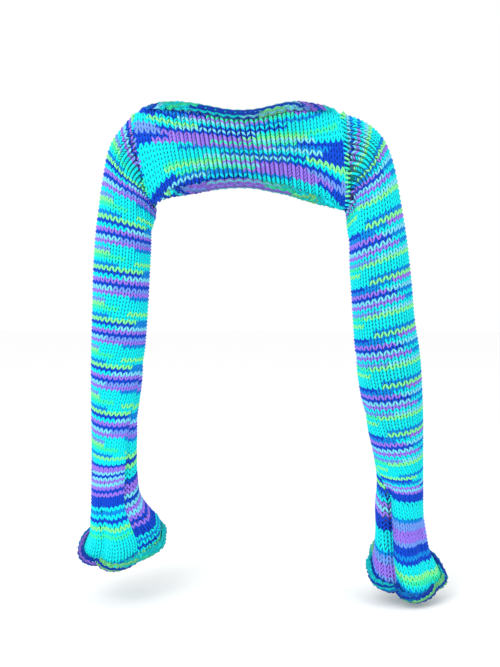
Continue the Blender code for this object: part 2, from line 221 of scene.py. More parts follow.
# The knitted rows lie closer together down the sleeve: their numbers, and their places in
# ring rows.
ROWS = ("number", "place")
LEFT_ROWS = (
    (0, 0.0), (11, 11.8), (24, 25.9), (37, 38.0), (50, 50.2), (63, 60.7), (76, 71.5), (89, 82.6), (117, 106.0)
)

# Stitches round the sleeve from a knitted row on; the bell adds to them.
ROUND = ("from_row", "stitches")
LEFT_ROUND = ((-9, 28), (99, 31), (103, 34), (107, 37), (111, 40))

# Towards the armpit the rows run out into the armhole: how many are lost there, and the ring
# row below which none is. The loss begins at an angle from the outer side and grows over another.
LEFT_CUT = (14.5, 30.0)
CUT_FROM = math.radians(70)
CUT_OVER = math.radians(85)

# The join was sewn with one side of the bell lower than the other: from which ring row, and by
# how many rows. The slip grows over some more.
LEFT_SLIP = (79.0, 7.5)
SLIP_OVER = 13.0


class Sleeve:
    """One sleeve's tables, and its side: 1 on the left or -1 on the right."""

    def __init__(self, side, rings, folds, join, rows, stitches, cut, slip, yarns):
        self.side = side
        self.rings = rings
        self.folds = folds
        self.join = join
        self.numbers = column(rows, ROWS, "number")
        self.places = column(rows, ROWS, "place")
        self.stitches = stitches
        self.cut_rows, self.cut_end = cut
        self.slip_from, self.slip_rows = slip
        self.arm_yarn, self.cuff_yarn = yarns
        self.cuff_from = int(self.cuff_yarn.starts[0])
        self.last = rings[-1][0]


STEP = 1e-3  # in rows, radians or shares: how far apart two points give a direction


def sleeve_frame(sleeve, row, angle):
    """Points of a sleeve with the way down the sleeve and the way out of the cloth."""
    down = unit(sleeve_at(sleeve, row + STEP, angle) - sleeve_at(sleeve, row - STEP, angle))
    round_it = sleeve_at(sleeve, row, angle + STEP) - sleeve_at(sleeve, row, angle - STEP)
    return sleeve_at(sleeve, row, angle), down, unit(np.cross(down, round_it)) * sleeve.side


def free_edge(angle):
    """1 where the armhole edge is bare and rolls, 0 where it is sewn."""
    start, end = FREE_EDGE
    angle = angle % TURN
    return fade((angle - start) / FREE_EDGE_FADE) * fade((end - angle) / FREE_EDGE_FADE)


def strip_past_armhole(angle):
    """How far the cloth goes on past the armhole's ring."""
    return SEAM_ALLOWANCE + (ROLL_LENGTH - SEAM_ALLOWANCE) * free_edge(angle)


def sleeve_cloth(sleeve, row, angle):
    """Points and facings of a sleeve at ring rows, with its rolled edges past either end."""
    row, angle = np.broadcast_arrays(row, angle)
    point, down, outwards = sleeve_frame(sleeve, np.clip(row, 0.0, sleeve.last), angle)
    strip = strip_past_armhole(angle)
    share = np.clip(-row * ROW / strip, 0.0, 1.0)
    top, top_facing = rolled(point, -down, outwards, strip, ROLL_TURN * free_edge(angle), share)
    share = np.clip((row - sleeve.last) * ROW / ROLL_LENGTH, 0.0, 1.0)
    cuff, cuff_facing = rolled(point, down, outwards, ROLL_LENGTH, ROLL_TURN, share)
    at_cuff = (row > sleeve.last)[..., None]
    return np.where(at_cuff, cuff, top), np.where(at_cuff, cuff_facing, top_facing)


def rows_lost(sleeve, angle):
    """How many knitted rows have run out into the armhole at an angle."""
    inner = np.minimum(angle % TURN, TURN - angle % TURN)
    return sleeve.cut_rows * fade((inner - CUT_FROM) / CUT_OVER)


def ring_row(sleeve, knitted, angle):
    """The ring row that a knitted row lies on at an angle."""
    lost = rows_lost(sleeve, angle)
    rest = np.maximum(sleeve.cut_end - knitted, 0.0)
    root = np.sqrt(np.maximum(sleeve.cut_end**2 - 4 * lost * rest, 0.0))
    within = sleeve.cut_end - 2 * sleeve.cut_end * rest / (sleeve.cut_end + root)
    row = np.where(knitted < sleeve.cut_end, within, knitted)
    return np.where(knitted < lost, knitted - lost, row)


def knitted_row(sleeve, row, angle):
    """The knitted row at a ring row and an angle, which is ring_row turned round."""
    rest = np.clip(1 - row / sleeve.cut_end, 0.0, 1.0)
    return row + rows_lost(sleeve, angle) * rest**2


def place_of(sleeve, number):
    """Where a knitted row lies, in ring rows."""
    return smooth_curve(sleeve.numbers, sleeve.places, number)


ROW_MARGIN = 10.0  # knitted rows that number_at looks at past either end
ROW_SAMPLES = 10.0  # places that it looks at in one of them


def number_at(sleeve, place):
    """The number, with its share, of the knitted row at a place, which is place_of turned round."""
    numbers = np.arange(-ROW_MARGIN, sleeve.numbers[-1] + ROW_MARGIN, 1 / ROW_SAMPLES)
    return np.interp(place, place_of(sleeve, numbers), numbers)


def slip_at(sleeve, row, share):
    """How many rows lower the cloth is at a share of the way round from the join."""
    return sleeve.slip_rows * fade((row - sleeve.slip_from) / SLIP_OVER) * (0.5 - share)


def join_angle(sleeve, row):
    """Where the join lies at a ring row."""
    rows = column(sleeve.join, JOIN, "row")
    degrees = column(sleeve.join, JOIN, "degrees")
    return np.radians(smooth_curve(rows, degrees, np.clip(row, 0.0, rows[-1])))


def yarn_at(sleeve, number, share):
    """Where on its yarn a place in a sleeve's row is, and its colour there."""
    rounds = number + share
    in_cuff = number + 0 * share >= sleeve.cuff_from
    along = np.where(in_cuff, sleeve.cuff_yarn.along(rounds), sleeve.arm_yarn.along(rounds))
    colours = np.where(in_cuff[..., None], sleeve.cuff_yarn.dye(rounds), sleeve.arm_yarn.dye(rounds))
    return along, colours


def stitches_round(sleeve, number):
    """How many stitches a knitted row has."""
    reached = column(sleeve.stitches, ROUND, "from_row") <= number
    return int(column(sleeve.stitches, ROUND, "stitches")[reached][-1])


# The yarn's colours.
CYAN = (0.0, 0.84, 0.90)
AQUA = (0.04, 0.94, 0.50)
LIME = (0.24, 0.96, 0.36)
ROYAL = (0.0, 0.07, 0.66)
AZURE = (0.0, 0.28, 0.82)
VIOLET = (0.34, 0.20, 0.92)
PERIWINKLE = (0.17, 0.36, 0.95)
PALE = (0.20, 0.76, 0.97)

# Its dye goes by runs, over and over: a run's colour, and its length in half rows.
LEFT_DYE = (
    (LIME, 1.25), (AZURE, 0.75), (ROYAL, 1.2), (AZURE, 0.8), (CYAN, 1.0), (PALE, 1.0),
    (VIOLET, 2.0), (ROYAL, 2.0), (PALE, 0.9), (PERIWINKLE, 1.1), (VIOLET, 1.9), (CYAN, 1.2),
    (AZURE, 0.9), (PERIWINKLE, 0.8), (CYAN, 1.0), (LIME, 1.0), (CYAN, 1.5), (AQUA, 0.7),
    (CYAN, 2.1), (LIME, 1.0), (AZURE, 0.8), (CYAN, 1.1),
)

# The runs of the bell's rows, from the first row to the last.
LEFT_CUFF_DYE = (
    (CYAN, 1.0), (LIME, 1.1), (CYAN, 1.9), (PERIWINKLE, 1.0), (CYAN, 1.0), (AZURE, 0.9),
    (ROYAL, 2.0), (VIOLET, 1.1), (PALE, 0.9), (VIOLET, 1.1), (ROYAL, 1.0), (PALE, 1.9),
    (ROYAL, 2.1), (PALE, 1.8), (VIOLET, 1.2), (ROYAL, 0.9), (PALE, 1.1), (PERIWINKLE, 0.9),
    (VIOLET, 1.1), (PALE, 0.8), (ROYAL, 1.2), (PERIWINKLE, 0.9), (VIOLET, 1.1), (ROYAL, 6.0),
    (AZURE, 0.9), (CYAN, 1.1), (AZURE, 2.0), (ROYAL, 0.8), (CYAN, 2.0), (ROYAL, 1.2), (AZURE, 0.9),
    (CYAN, 2.0), (LIME, 1.1), (CYAN, 2.2), (AQUA, 1.8), (CYAN, 12.0), (AZURE, 1.8), (VIOLET, 2.2),
    (ROYAL, 2.0),
)


class Amount:
    """A value that varies over a surface: a sum with it adds Math nodes to its finish."""

    def __init__(self, finish, socket):
        self.finish = finish
        self.socket = socket

    def maths(self, operation, *values):
        """A Math node on it and any other values."""
        return self.finish.node("ShaderNodeMath", {"operation": operation}, dict(enumerate((self, *values))))

    def __add__(self, other):
        return self.maths("ADD", other)

    def __mul__(self, other):
        return self.maths("MULTIPLY", other)

    __radd__ = __add__
    __rmul__ = __mul__


class Finish:
    """A material whose nodes are added by one call each."""

    def __init__(self, name):
        self.material = bpy.data.materials.new(name)
        self.material.use_nodes = True
        self.tree = self.material.node_tree
        self.shader = self.tree.nodes["Principled BSDF"]

    def node(self, kind, settings, inputs, output=0):
        """A node with its settings and then its inputs, as one of its outputs."""
        made = self.tree.nodes.new(kind)
        for name, value in settings.items():
            setattr(made, name, value)
        for name, value in inputs.items():
            self.feed(made.inputs[name], value)
        return Amount(self, made.outputs[output])

    def feed(self, socket, value):
        """A link or a constant into a socket."""
        if isinstance(value, Amount):
            self.tree.links.new(value.socket, socket)
        else:
            socket.default_value = value


PLIES = 3
TWIST = 700.0  # turns of the plies in one repeat of the dye
PLY_SHADE = 0.26  # painted shade: how much darker the grooves between the plies are coloured
PLY_HEIGHT = 0.0008
PLY_STRENGTH = 0.5  # of the bump that raises the plies
SIDE_SHADE = 0.28  # painted shade: how much darker the yarn's sides are coloured than its crown, and its underside more so
HEATHER = 0.2  # how unevenly the wool took the dye
HEATHER_SIZE = 900.0
UNDER_LOOPS = 0.17  # painted shade: share of the light that the ground under the loops is coloured with


def wool_finish(name, shade):
    """Bulky plied wool in the colours of its dye, with painted shade; shade below 1 is the same wool with
    painted shadow over it.
    """
    finish = Finish(name)
    surface_map = finish.node("ShaderNodeUVMap", {"uv_map": "yarn"}, {})
    along = finish.node("ShaderNodeSeparateXYZ", {}, {0: surface_map}, output=0)
    round_it = finish.node("ShaderNodeSeparateXYZ", {}, {0: surface_map}, output=1)
    heather = {"W": along, "Scale": HEATHER_SIZE}
    patches = finish.node("ShaderNodeTexNoise", {"noise_dimensions": "1D"}, heather)
    dye = finish.node("ShaderNodeAttribute", {"attribute_name": "dye"}, {})
    strand = (PLIES * round_it + TWIST * PLIES * along).maths("FRACT")
    crown = (strand * math.pi).maths("SINE")
    # Painted shade: the colour darkens from the yarn's crown to its sides, and more below them.
    outwards = (round_it * TURN).maths("SINE")
    # Painted shade darkens the grooves between the plies; the heather's patches are the wool's own uneven
    # dye.
    light = (1 - PLY_SHADE - HEATHER / 2) + PLY_SHADE * crown + HEATHER * patches
    light = light * (shade * (1 - SIDE_SHADE) + shade * SIDE_SHADE * outwards)
    wool = finish.node("ShaderNodeVectorMath", {"operation": "SCALE"}, {0: dye, "Scale": light})
    finish.feed(finish.shader.inputs["Base Color"], wool)
    bump = {"Height": crown, "Strength": PLY_STRENGTH, "Distance": PLY_HEIGHT}
    finish.feed(finish.shader.inputs["Normal"], finish.node("ShaderNodeBump", {}, bump))
    finish.shader.inputs["Roughness"].default_value = 0.9
    finish.shader.inputs["Specular IOR Level"].default_value = 0.08
    finish.shader.inputs["Sheen Weight"].default_value = 0.06
    finish.shader.inputs["Sheen Roughness"].default_value = 0.6
    return finish.material


# A lit copy of the wool, and a copy with painted shadow for the ground under the loops.
WOOL = wool_finish("wool", 1.0)
SHADED_WOOL = wool_finish("shaded_wool", UNDER_LOOPS)


class Yarn:
    """The yarn of a stretch of rows: its dye's runs, and the rounds at which they start over."""

    def __init__(self, dye, starts):
        self.colours = np.array([colour for colour, length in dye])
        self.ends = np.cumsum([length for colour, length in dye])
        self.starts = np.array(starts)

    def along(self, rounds):
        """Where on the yarn a place is, in repeats of the dye; rows run on into one another."""
        return smooth_curve(self.starts, np.arange(float(len(self.starts))), rounds)

    def dye(self, rounds):
        """The dye's colours at places, which are rounds with their share."""
        run = np.searchsorted(self.ends, self.along(rounds) % 1.0 * self.ends[-1], side="right")
        return self.colours[np.minimum(run, len(self.colours) - 1)]


# One loop of yarn: a V on the knit side, its head and feet on the back.
LOOP_POINTS = 8
YARN_SIDES = 6
CAP = [[0, 1, 2, 3], [0, 3, 4, 5]]  # how two faces close the end of a yarn
YARN_RADIUS = 0.00165
LOOP_HALF_HEIGHT = 0.86  # in rows
LOOP_BULGE = 0.30  # in stitches, how far the head is wider than the feet
LOOP_DEPTH = 0.0019
LOOP_SINK = 0.0006  # how far the loops' middle lies under the garment's form


def loop_path(stitches):
    """Places along a row with each point's shift across, its height in rows and its depth."""
    turn = TURN * np.arange(stitches * LOOP_POINTS) / LOOP_POINTS
    across = turn / TURN + LOOP_BULGE * np.sin(2 * turn)
    return across, -LOOP_HALF_HEIGHT * np.cos(turn), -LOOP_DEPTH * np.cos(2 * turn)


class Knitting:
    """Rows of yarn loops, gathered into one closed mesh."""

    def __init__(self):
        self.points = []
        self.faces = []
        self.yarn_map = []
        self.bake_map = []
        self.colours = []
        self.lengths = 0
        self.used = 0

    def add(self, centres, facings, yarn, is_round, radius):
        """One length of yarn round its centres, with its places on the whole yarn and its colours."""
        along, colours = yarn
        if is_round:
            onward = unit(np.roll(centres, -1, axis=0) - np.roll(centres, 1, axis=0))
        else:
            onward = unit(np.gradient(centres, axis=0))
        sideways = unit(np.cross(onward, facings))
        upward = np.cross(sideways, onward)
        phase = TURN * np.arange(YARN_SIDES) / YARN_SIDES
        ring = np.cos(phase)[:, None] * sideways[:, None] + np.sin(phase)[:, None] * upward[:, None]
        radius = np.broadcast_to(radius, len(centres))[:, None, None]
        self.points.append((centres[:, None] + radius * ring).reshape(-1, 3))
        rings = len(centres)
        spans = rings if is_round else rings - 1
        ring = np.repeat(np.arange(spans), YARN_SIDES)[:, None] + (0, 1, 1, 0)
        side = np.tile(np.arange(YARN_SIDES), spans)[:, None] + (0, 0, 1, 1)
        if not is_round:
            cap_rings = np.array([[0] * 4] * 2 + [[rings - 1] * 4] * 2)
            ring = np.vstack((ring, cap_rings))
            side = np.vstack((side, CAP, [row[::-1] for row in CAP]))
        along = np.append(along, 2 * along[-1] - along[-2])
        self.faces.append(self.used + (ring % rings) * YARN_SIDES + side % YARN_SIDES)
        self.colours.append(colours[ring % rings])
        self.yarn_map.append(np.stack((along[ring], side / YARN_SIDES), axis=-1))
        strip = self.lengths + (side + 0.5) / (YARN_SIDES + 1)
        self.bake_map.append(np.stack(((ring + 0.5) / (rings + 1), strip), axis=-1))
        self.lengths += 1
        self.used += rings * YARN_SIDES

    def piece(self, name):
        """The gathered yarn as one object."""
        bake_map = np.concatenate(self.bake_map)
        bake_map[..., 1] /= self.lengths
        maps = {"yarn": np.concatenate(self.yarn_map), "OFBake": bake_map}
        points, faces, colours = (np.concatenate(part) for part in (self.points, self.faces, self.colours))
        return cloth_object(name, points, faces, maps, colours, WOOL)


def cloth_object(name, points, faces, maps, colours, material):
    """A smooth mesh object with its surface maps and dye, which rides on the garment's one body."""
    mesh = bpy.data.meshes.new(name)
    mesh.from_pydata(points.tolist(), [], faces.tolist())
    for map_name, corners in maps.items():
        layer = mesh.uv_layers.new(name=map_name)
        layer.data.foreach_set("uv", corners.astype(np.float32).ravel())
    opaque = np.ones((*colours.shape[:-1], 1))
    dye = np.concatenate((colours, opaque), axis=-1).astype(np.float32)
    mesh.color_attributes.new("dye", "FLOAT_COLOR", "CORNER").data.foreach_set("color", dye.ravel())
    mesh.shade_smooth()
    mesh.materials.append(material)
    made = bpy.data.objects.new(name, mesh)
    bpy.context.scene.collection.objects.link(made)
    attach(made, "root")
    return made


def runs_of(kept):
    """Runs of neighbouring kept stitches round a row, as first stitch and length."""
    count = len(kept)
    if kept.all():
        return [(0, count)]
    runs = []
    for first in np.flatnonzero(kept & ~np.roll(kept, 1)):
        length = 1
        while kept[(first + length) % count]:
            length += 1
        runs.append((first, length))
    return runs


EDGE_STITCH = 0.3  # rows of cloth that an edge stitch needs past its middle
ROLL_FLATTENS = 0.5  # share of the loops' depth that a rolled edge presses flat
ROLL_THICKENS = 0.25  # how much fuller the yarn is there


def laid_loops(point, facing, depth, on_roll, fullness):
    """The yarn's centres and radii for loops on the cloth, flatter and fuller on a rolled edge."""
    centres = point + facing * (depth * (1 - ROLL_FLATTENS * on_roll) - LOOP_SINK)[:, None]
    return centres, YARN_RADIUS * (fullness + ROLL_THICKENS * on_roll)


def sleeve_row(sleeve, number):
    """A row's yarn round a sleeve: its centres, facings and radii, and which stitches are on the cloth."""
    count = stitches_round(sleeve, number)
    across, height, depth = loop_path(count)
    share = across / count
    pitch = place_of(sleeve, number + 0.5) - place_of(sleeve, number - 0.5)
    middle = place_of(sleeve, number) + slip_at(sleeve, place_of(sleeve, number), share)
    angle = join_angle(sleeve, np.clip(middle, 0, sleeve.last)) + TURN * share
    row = ring_row(sleeve, middle - height * pitch, angle)
    angle = join_angle(sleeve, row) + TURN * share
    middle = ring_row(sleeve, middle, angle)
    past_armhole = -middle - strip_past_armhole(angle) / ROW
    past_cuff = middle - sleeve.last - ROLL_LENGTH / ROW
    on_cloth = np.maximum(past_armhole, past_cuff) < -EDGE_STITCH
    on_roll = fade(np.maximum(-row * free_edge(angle), row - sleeve.last))
    point, facing = sleeve_cloth(sleeve, row, angle)
    centres, radius = laid_loops(point, facing, depth, on_roll, 1.0)
    return centres, facing, radius, on_cloth.reshape(count, LOOP_POINTS).all(axis=1)


def knit_sleeve(sleeve, name, from_row, to_row):
    """The yarn loops of a sleeve's knitted rows from one up to another, as one piece."""
    knitting = Knitting()
    edges = (-ROLL_LENGTH / ROW, sleeve.last + ROLL_LENGTH / ROW + sleeve.slip_rows / 2)
    first, last = number_at(sleeve, np.array(edges)).round().astype(int)
    for number in range(max(first, from_row), min(last + 1, to_row)):
        centres, facing, radius, kept = sleeve_row(sleeve, number)
        # A slipped row's end doesn't meet its start. Any other open run reaches to its next stitch.
        slipped = place_of(sleeve, number) > sleeve.slip_from
        for first_kept, length in runs_of(np.append(kept, False) if slipped else kept):
            is_round = length == len(kept) and not slipped
            last_point = length * LOOP_POINTS + (not is_round and not slipped)
            pick = first_kept * LOOP_POINTS + np.arange(last_point)
            yarn = yarn_at(sleeve, number, pick / len(centres))
            pick = pick % len(centres)
            knitting.add(centres[pick], facing[pick], yarn, is_round, radius[pick])
    return knitting.piece(name)


GROUND_COLUMNS = 64  # faces round a sleeve's ground cloth
GROUND_THICKNESS = 0.0012
CROWN = 0.25  # share of the way round the yarn at which its crown is
STRIP_STEPS = 3  # faces over a rolled edge


def ground_cloth(name, points, yarn, is_tube, flips):
    """The thin ground of a piece, under its loops, coloured by the rows that it carries, with painted shadow
    except on its rolled edges.
    """
    rows, columns = points.shape[:2]
    spans = columns if is_tube else columns - 1
    down = np.repeat(np.arange(rows - 1), spans)[:, None] + (0, 1, 1, 0)
    across = np.tile(np.arange(spans), rows - 1)[:, None] + (0, 0, 1, 1)
    faces = down * columns + across % columns
    face = np.arange(len(faces))[:, None]
    along, colours = yarn
    start_or_end = (0, 0, 1, 1)
    yarn_map = np.stack((along.reshape(-1, 2)[face, start_or_end], np.full(faces.shape, CROWN)), axis=-1)
    colours = colours.reshape(-1, 2, 3)[face, start_or_end]
    bake_map = np.stack((across / spans, down / (rows - 1)), axis=-1)
    if flips:
        faces, yarn_map = faces[:, ::-1], yarn_map[:, ::-1]
        bake_map, colours = bake_map[:, ::-1], colours[:, ::-1]
    maps = {"yarn": yarn_map, "OFBake": bake_map}
    ground = cloth_object(name, points.reshape(-1, 3), faces, maps, colours, SHADED_WOOL)
    ground.data.materials.append(WOOL)
    # Painted shade: the ground takes the shadowed copy of the wool, and its rolled strips, which lie out in
    # the light, take the lit one.
    in_roll = (down[:, 0] < STRIP_STEPS) | (down[:, 0] >= rows - 1 - STRIP_STEPS)
    ground.data.polygons.foreach_set("material_index", in_roll.astype(np.int32))
    thickness = ground.modifiers.new("thickness", "SOLIDIFY")
    thickness.thickness = GROUND_THICKNESS
    thickness.offset = 0.0
    return ground


def sleeve_ground(sleeve, name):
    """A sleeve's ground cloth, from its armhole to its rolled cuff."""
    round_share = np.arange(GROUND_COLUMNS) / GROUND_COLUMNS
    edge = np.arange(1, STRIP_STEPS + 1) / STRIP_STEPS
    at_armhole = join_angle(sleeve, 0.0) + TURN * round_share
    strip = -edge[::-1, None] * strip_past_armhole(at_armhole) / ROW
    body = np.arange(sleeve.last + 1.0)[:, None] + 0 * round_share
    cuff = sleeve.last + edge[:, None] * ROLL_LENGTH / ROW + 0 * round_share
    row = np.vstack((strip, body, cuff))
    angle = join_angle(sleeve, row) + TURN * round_share
    points = sleeve_cloth(sleeve, row, angle)[0]
    middle = (row[1:] + row[:-1]) / 2
    knitted = knitted_row(sleeve, middle, (angle[1:] + angle[:-1]) / 2)
    number = np.round(number_at(sleeve, knitted - slip_at(sleeve, middle, round_share)))
    ends = np.stack((round_share, round_share + 1 / GROUND_COLUMNS), axis=-1)
    yarn = yarn_at(sleeve, number[..., None], ends)
    return ground_cloth(name, points, yarn, True, sleeve.side < 0)


def make_sleeve(sleeve, node):
    """A sleeve's ground cloth with its yarn loops, made in parts from the shoulder down."""
    # The first and the last part reach past the sleeve's ends, to take in its rolled rows.
    cuff = sleeve.cuff_from
    elbow = cuff // 2
    loops = [
        knit_sleeve(sleeve, f"{node}_shoulder_loops", -cuff, elbow),
        knit_sleeve(sleeve, f"{node}_elbow_loops", elbow, cuff),
        knit_sleeve(sleeve, f"{node}_cuff_loops", cuff, 2 * cuff),
    ]
    ground = sleeve_ground(sleeve, f"{node}_ground")
    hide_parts(node)


# The arm's yarn and the bell's, with the rounds at which their dye starts over.
LEFT_YARNS = (
    Yarn(LEFT_DYE, (-1.78, 11.22, 24.22, 37.22, 50.22, 63.26, 76.36, 89.45)),
    Yarn(LEFT_CUFF_DYE, (89.22, 123.22)),
)
left_sleeve = Sleeve(
    1, LEFT_RINGS, LEFT_FOLDS, LEFT_JOIN, LEFT_ROWS, LEFT_ROUND, LEFT_CUT, LEFT_SLIP, LEFT_YARNS
)
make_sleeve(left_sleeve, "sleeve_left")

# ---------------------------------------------------------------------------------------
# Wearer's right sleeve. Knitted as the left one, from its own length of the same yarn; it
# hangs wider and lower, and a deep fold runs up from its cuff along the join.
# ---------------------------------------------------------------------------------------

RIGHT_RINGS = (
    (0, 0.1408, -0.0102, 0.1502, -0.1500, 0.000, 0.0350, 0.0015, 0.000),
    (4, 0.1626, -0.0173, 0.1503, -0.1515, 0.000, 0.0405, 0.0020, 0.003),
    (8, 0.1831, -0.0294, 0.1506, -0.1529, 0.000, 0.0435, 0.0020, 0.006),
    (12, 0.1984, -0.0457, 0.1509, -0.1550, 0.000, 0.0445, 0.0015, 0.008),
    (16, 0.2089, -0.0668, 0.1511, -0.1579, 0.000, 0.0445, 0.0010, 0.009),
    (20, 0.2158, -0.0896, 0.1513, -0.1630, -0.001, 0.0440, 0.0000, 0.008),
    (24, 0.2206, -0.1129, 0.1518, -0.1709, -0.002, 0.0435, 0.0000, 0.006),
    (28, 0.2247, -0.1365, 0.1525, -0.1831, -0.003, 0.0430, 0.0000, 0.004),
    (36, 0.2324, -0.1838, 0.1549, -0.2190, -0.006, 0.0430, 0.0000, 0.000),
    (48, 0.2404, -0.2548, 0.1590, -0.2800, -0.010, 0.0430, 0.0000, 0.000),
    (56, 0.2447, -0.3023, 0.1617, -0.3225, -0.011, 0.0430, 0.0000, -0.002),
    (64, 0.2525, -0.3501, 0.1656, -0.3667, -0.010, 0.0425, 0.0000, -0.004),
    (72, 0.2568, -0.3991, 0.1728, -0.4123, -0.006, 0.0410, 0.0000, -0.006),
    (80, 0.2596, -0.4489, 0.1829, -0.4591, 0.000, 0.0380, 0.0000, -0.007),
    (88, 0.2610, -0.4993, 0.1941, -0.5059, 0.007, 0.0350, 0.0000, -0.008),
    (94, 0.2622, -0.5374, 0.1992, -0.5419, 0.013, 0.0340, 0.0000, -0.009),
    (100, 0.2637, -0.5759, 0.1976, -0.5789, 0.019, 0.0340, 0.0000, -0.010),
    (106, 0.2656, -0.6177, 0.1977, -0.6192, 0.025, 0.0360, 0.0000, -0.012),
    (110, 0.2708, -0.6448, 0.1955, -0.6448, 0.028, 0.0410, 0.0000, -0.018),
    (115, 0.2912, -0.6868, 0.1924, -0.6693, 0.032, 0.0500, 0.0000, -0.028),
)

RIGHT_FOLDS = (
    (1, 120, 24, 146, -0.0060, 12, 6),  # fan of tucks out of the armpit
    (2, 92, 16, 118, -0.0035, 11, 5),
    (14, 168, 32, 152, -0.0040, 12, 6),
    (10, 206, 30, 236, -0.0050, 14, 8),  # the same at the front
    (26, 200, 38, 165, -0.0030, 14, 6),
    (60, 198, 68, 152, -0.0025, 12, 6),  # soft creases inside the elbow
    (72, 160, 82, 204, -0.0030, 12, 6),
    (94, 127, 121, 103, -0.0110, 11, 8),  # deep fold along the join of the sleeve
    (100, 90, 121, 80, 0.0035, 15, 7),
    (102, 150, 121, 138, 0.0045, 16, 7),
    (104, 40, 121, 36, -0.0045, 14, 7),  # flutes of the bell
    (104, 8, 121, 12, 0.0040, 15, 7),
    (104, 196, 121, 200, -0.0050, 15, 7),
    (102, 244, 121, 242, 0.0055, 17, 7),
    (102, 300, 121, 298, -0.0060, 15, 7),
)

RIGHT_JOIN = ((0, 196), (70, 194), (84, 182), (90, 160), (94, 140), (97, 130), (105, 118), (119, 110))
RIGHT_ROWS = (
    (0, 0.0), (12, 13.0), (26, 29.8), (40, 43.8), (54, 57.0), (68, 69.2), (82, 80.8), (96, 92.0), (124, 115.0)
)
RIGHT_ROUND = ((-9, 28), (107, 31), (111, 34), (115, 37), (119, 40))
RIGHT_CUT = (19.0, 39.0)
RIGHT_SLIP = (88.0, 7.5)

RIGHT_DYE = (
    (LIME, 1.1), (CYAN, 0.9), (VIOLET, 0.85), (AZURE, 0.3), (ROYAL, 0.85), (CYAN, 1.0),
    (AZURE, 1.0), (PALE, 0.9), (VIOLET, 1.1), (AZURE, 0.8), (ROYAL, 1.2), (CYAN, 0.8), (PALE, 1.2),
    (AZURE, 0.7), (VIOLET, 1.3), (CYAN, 2.0), (PALE, 1.0), (PERIWINKLE, 0.6), (LIME, 1.6),
    (AQUA, 0.8), (CYAN, 3.2), (LIME, 1.0), (CYAN, 1.8), (AZURE, 1.1), (CYAN, 0.9),
)
RIGHT_CUFF_DYE = (
    (CYAN, 1.0), (LIME, 0.9), (CYAN, 1.2), (ROYAL, 0.9), (CYAN, 0.9), (AZURE, 1.1), (PALE, 1.0),
    (CYAN, 1.1), (ROYAL, 0.9), (VIOLET, 1.2), (CYAN, 0.8), (PALE, 1.1), (VIOLET, 1.9), (ROYAL, 6.0),
    (AZURE, 1.0), (CYAN, 9.1), (PALE, 0.9), (AZURE, 1.1), (PERIWINKLE, 1.9), (PALE, 0.8),
    (PERIWINKLE, 1.2), (VIOLET, 1.9), (PERIWINKLE, 1.1), (VIOLET, 3.0), (AZURE, 0.8),
    (PERIWINKLE, 1.2), (ROYAL, 4.9), (AZURE, 1.1), (ROYAL, 2.0), (CYAN, 4.9), (LIME, 1.3),
    (AQUA, 1.8), (CYAN, 2.0), (AZURE, 2.0), (ROYAL, 2.0),
)
RIGHT_YARNS = (
    Yarn(RIGHT_DYE, (-1.78, 12.22, 26.22, 40.22, 54.22, 68.22, 82.24, 96.3)),
    Yarn(RIGHT_CUFF_DYE, (96.22, 129.22)),
)
right_sleeve = Sleeve(
    -1, RIGHT_RINGS, RIGHT_FOLDS, RIGHT_JOIN, RIGHT_ROWS, RIGHT_ROUND, RIGHT_CUT, RIGHT_SLIP, RIGHT_YARNS
)
make_sleeve(right_sleeve, "sleeve_right")

# ---------------------------------------------------------------------------------------
# Back panel. A band of stockinette across the shoulder blades, wales upright, pulled wide
# in its middle. It is sewn to a sleeve at either end; its neck edge and hem roll outwards.
# ---------------------------------------------------------------------------------------

# The panel's bare edges before they roll, from the left seam to the right one.
EDGE = ("x", "y", "z")

NECK_EDGE = (
    (-0.1512, -0.008, -0.0132),
    (-0.1317, -0.020, -0.0084),
    (-0.1167, -0.030, -0.0050),
    (-0.0993, -0.038, -0.0035),
    (-0.0737, -0.046, -0.0058),
    (-0.0470, -0.052, -0.0112),
    (-0.0219, -0.056, -0.0164),
    (0.0031, -0.057, -0.0176),
    (0.0225, -0.056, -0.0154),
    (0.0406, -0.054, -0.0108),
    (0.0657, -0.049, -0.0049),
    (0.0799, -0.044, -0.0042),
    (0.1013, -0.034, -0.0062),
    (0.1204, -0.022, -0.0090),
    (0.1384, -0.008, -0.0111),
)

HEM_EDGE = (
    (-0.1288, -0.012, -0.1489),
    (-0.1194, -0.022, -0.1393),
    (-0.1060, -0.031, -0.1309),
    (-0.0913, -0.040, -0.1238),
    (-0.0733, -0.048, -0.1190),
    (-0.0556, -0.054, -0.1151),
    (-0.0267, -0.060, -0.1109),
    (-0.0039, -0.062, -0.1097),
    (0.0183, -0.062, -0.1110),
    (0.0378, -0.060, -0.1150),
    (0.0644, -0.054, -0.1205),
    (0.0943, -0.043, -0.1312),
    (0.1156, -0.031, -0.1417),
    (0.1325, -0.020, -0.1534),
    (0.1460, -0.012, -0.1575),
)

PANEL_BELLY = 0.010  # how far the middle of the panel's height stands out behind
PANEL_STITCHES = 28
PANEL_ROWS = 26
PANEL_FULLNESS = 1.12  # how much fuller the panel's yarn lies than the sleeves'
SEAM_SPREAD = 0.55  # rows at a seam, as a share of the rows in the middle
SPREAD_REACH = 0.32  # share of the width over which they close up
SEAM_TOP = math.radians(13)  # where the neck edge meets the sleeve
SEAM_FOOT = math.radians(152)  # where the hem does
SEAM_REACH = 0.30  # share of the width over which the panel turns into the shape of its seam
SEAM_GAP = 0.0006
SEAM_SAMPLES = 200
SIDE_STRETCH = 6 * math.pi  # the middle stitches are pulled twice as wide as those at the seams
ROLL_END = 0.12  # share of the roll that is left at the seams
ROLL_END_WIDTH = 0.15  # share of the width over which the roll grows
ROLL_LEAN = 2.0  # how steeply the ends of the rolls lean away from the sleeves
LEAN_WIDTH = 0.04

